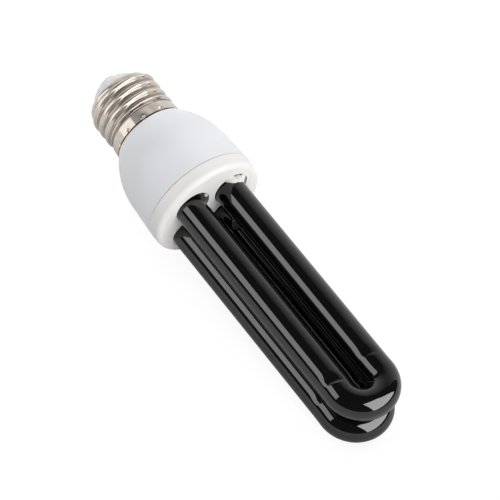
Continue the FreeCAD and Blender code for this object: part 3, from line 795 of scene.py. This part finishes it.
def paper():
    """White paper: it lights the lamp as paper does, and is seen, also in gloss, as white with a shadow."""
    sheet = Nodes("paper")
    sheet.tree.nodes.remove(sheet.tree.nodes["Principled BSDF"])
    place = sheet.add("NewGeometry").outputs["Position"]
    height = sheet.add("SeparateXYZ", place).outputs["Z"]
    fade = sheet.spread(height, PAPER_GLOW, STUDIO_GREY, WALL_FADE_START, WALL_HEIGHT)
    cover = sheet.add("AmbientOcclusion", Distance=COVER_DISTANCE)
    cover.samples = COVER_SAMPLES
    shadow = sheet.math("POWER", cover.outputs["AO"], COVER_POWER)
    ray = sheet.add("LightPath").outputs
    open_share = sheet.math("MAXIMUM", shadow, ray["Is Camera Ray"])
    glow = sheet.add("Emission", Strength=sheet.math("MULTIPLY", fade, open_share))
    lit = sheet.add("BsdfDiffuse", PAPER_COLOUR)
    shown = sheet.add("BsdfDiffuse", PAPER_SHOWN)
    ground = sheet.add("AddShader", shown.outputs["BSDF"], glow.outputs["Emission"])
    seen = sheet.math("MAXIMUM", ray["Is Camera Ray"], ray["Is Glossy Ray"])
    seen_through = sheet.math("MAXIMUM", seen, ray["Is Transmission Ray"])
    mix = sheet.add("MixShader", seen_through, lit.outputs["BSDF"], ground.outputs["Shader"])
    sheet.feed(sheet.tree.nodes["Material Output"].inputs["Surface"], mix.outputs["Shader"])
    return sheet.material


def backdrop():
    """Floor that sweeps up into a wall behind the lamp."""
    sweep_start = WALL_DISTANCE - SWEEP_RADIUS
    profile = [(-FLOOR_REACH, 0.0), (sweep_start, 0.0)]
    for step in range(1, SWEEP_STEPS + 1):
        turn = math.pi / 2 * step / SWEEP_STEPS
        profile.append((sweep_start + SWEEP_RADIUS * math.sin(turn), SWEEP_RADIUS * (1 - math.cos(turn))))
    profile.append((WALL_DISTANCE, WALL_HEIGHT))
    mesh = bmesh.new()
    rows = []
    for run, rise in profile:
        rows.append([mesh.verts.new((run, side, rise)) for side in (-FLOOR_REACH, FLOOR_REACH)])
    for low, high in zip(rows, rows[1:]):
        mesh.faces.new((low[0], high[0], high[1], low[1]))
    sweep = new_object("backdrop", mesh, Matrix.Rotation(WALL_AZIMUTH, 4, "Z"))
    smooth(sweep, SWEEP_SHARP_ANGLE)
    sweep.data.materials.append(paper())


# Lights, in metres and degrees

UPRIGHT = Vector((0, 0, 1))
RIGHT_ANGLE = 90
LIGHT_DISTANCE = 2.0
LIGHT_SIZE = 1.33
HUNG_HEIGHT = 0.25
TUBE_END = Vector((0.07, 0.0, 0.02))
TUBE_SIDE = Vector((0.02, -0.008, 0.03))
CAP_PLACE = Vector((-0.065, 0.0, 0.036))


def direction(azimuth, elevation=0.0):
    """Unit vector towards an azimuth and an elevation."""
    turn = math.radians(azimuth)
    rise = math.radians(elevation)
    return Vector((math.cos(turn) * math.cos(rise), math.sin(turn) * math.cos(rise), math.sin(rise)))


def panel(name, centre, outward, up, width, length, brightness):
    """Rectangular light of even brightness, which the camera does not see."""
    data = bpy.data.lights.new(name, "AREA")
    data.shape = "RECTANGLE"
    data.size = width
    data.size_y = length
    data.energy = brightness * math.pi * width * length
    light = bpy.data.objects.new(name, data)
    light.matrix_world = Matrix.Translation(centre) @ turned_to(up.cross(outward), up, outward)
    light.visible_camera = False
    bpy.context.scene.collection.objects.link(light)
    return light


def mirrored_panel(name, target, azimuth, distance, height, width, length, brightness, side=0.0, roll=0.0):
    """Upright panel that faces the target's side and shows in gloss only."""
    outward = direction(azimuth)
    sideways = direction(azimuth + RIGHT_ANGLE)
    centre = target + outward * distance + sideways * side + UPRIGHT * height
    lean = math.radians(roll)
    up = UPRIGHT * math.cos(lean) - sideways * math.sin(lean)
    light = panel(name, centre, outward, up, width, length, brightness)
    light.visible_diffuse = False
    return light


def hung_panel(name, azimuth, start, end, width, brightness):
    """Level panel over the cap, between two distances from it, that shows in gloss only."""
    outward = direction(azimuth)
    centre = CAP_PLACE + outward * (start + end) / 2 + UPRIGHT * HUNG_HEIGHT
    light = panel(name, centre, UPRIGHT, outward, width, end - start, brightness)
    light.visible_diffuse = False
    return light


def soft_light(name, azimuth, elevation, brightness, size=LIGHT_SIZE):
    """Square light at a distance that lights matt surfaces and does not show in gloss."""
    outward = direction(azimuth, elevation)
    up = direction(azimuth, elevation + RIGHT_ANGLE)
    light = panel(name, outward * LIGHT_DISTANCE, outward, up, size, size, brightness)
    light.visible_glossy = False
    light.data.cycles.use_multiple_importance_sampling = False


def link_to_shell(shell, lights, state):
    """The lights show only in the screw shell, or in everything but the shell."""
    for light in lights:
        group = bpy.data.collections.new(light.name)
        group.objects.link(shell)
        group.collection_objects[0].light_linking.link_state = state
        light.light_linking.receiver_collection = group


def glass_panels():
    """Softboxes that show as the bright stretches on the tube."""
    return [
        mirrored_panel(
            "front_softbox", TUBE_END, azimuth=22, distance=0.45, side=-0.012, height=0.46, roll=13.5,
            width=0.58, length=0.80, brightness=7.9),
        mirrored_panel(
            "left_softbox", TUBE_SIDE, azimuth=-120, distance=0.25, side=0.054, height=0.190,
            width=0.252, length=0.228, brightness=3.75),
    ]


def shell_panels():
    """Panels round and over the cap that show as the glints on its thread."""
    return [
        mirrored_panel(
            "cap_reflector", CAP_PLACE, azimuth=-120, distance=0.2144, side=0.015, height=0.088,
            width=0.245, length=0.20, brightness=1.5),
        mirrored_panel(
            "cap_side", CAP_PLACE, azimuth=60, distance=0.30, height=0.153,
            width=0.50, length=0.254, brightness=0.85),
        mirrored_panel(
            "cap_front_fill", CAP_PLACE, azimuth=-50, distance=0.30, height=0.09,
            width=0.36, length=0.20, brightness=0.32),
        hung_panel("cap_ceiling", azimuth=25, start=0.04, end=0.34, width=0.5, brightness=2.1),
        hung_panel("cap_wing", azimuth=-75, start=0.10, end=0.36, width=0.4, brightness=0.7),
        hung_panel("cap_fill", azimuth=-170, start=0.08, end=0.30, width=0.3, brightness=0.36),
    ]


def studio_light():
    """Even grey light from all round."""
    world = bpy.data.worlds.new("studio")
    world.use_nodes = True
    background = world.node_tree.nodes["Background"]
    background.inputs["Color"].default_value = WHITE
    background.inputs["Strength"].default_value = STUDIO_GREY
    bpy.context.scene.world = world


def light_up(shell):
    link_to_shell(shell, glass_panels(), "EXCLUDE")
    link_to_shell(shell, shell_panels(), "INCLUDE")
    soft_light("low_front_light", azimuth=0, elevation=9, brightness=26.8, size=0.6)
    soft_light("left_light", azimuth=-120, elevation=38, brightness=2.3)
    soft_light("right_light", azimuth=100, elevation=35, brightness=3.0)
    soft_light("top_light", azimuth=180, elevation=80, brightness=2.6)
    studio_light()


# Camera

CAMERA_PLACE = Vector((0.43836, -0.35965, 0.71245))
CAMERA_RIGHT = Vector((0.5792, 0.8130, 0.0599))
CAMERA_UP = Vector((-0.6541, 0.4196, 0.6294))
CAMERA_LENS = 194.4
CAMERA_SENSOR = 36.0


def camera():
    right = CAMERA_RIGHT.normalized()
    backward = right.cross(CAMERA_UP).normalized()
    data = bpy.data.cameras.new("camera")
    data.lens = CAMERA_LENS
    data.sensor_width = CAMERA_SENSOR
    view = bpy.data.objects.new("camera", data)
    view.matrix_world = Matrix.Translation(CAMERA_PLACE) @ turned_to(right, backward.cross(right), backward)
    bpy.context.scene.collection.objects.link(view)
    bpy.context.scene.camera = view


paint_nodes()
rolled_shell = screw_shell()
discharge_tube()
cement_bead()
cement_fleck()
backdrop()
light_up(rolled_shell)
camera()
bpy.context.scene.view_settings.view_transform = "Standard"
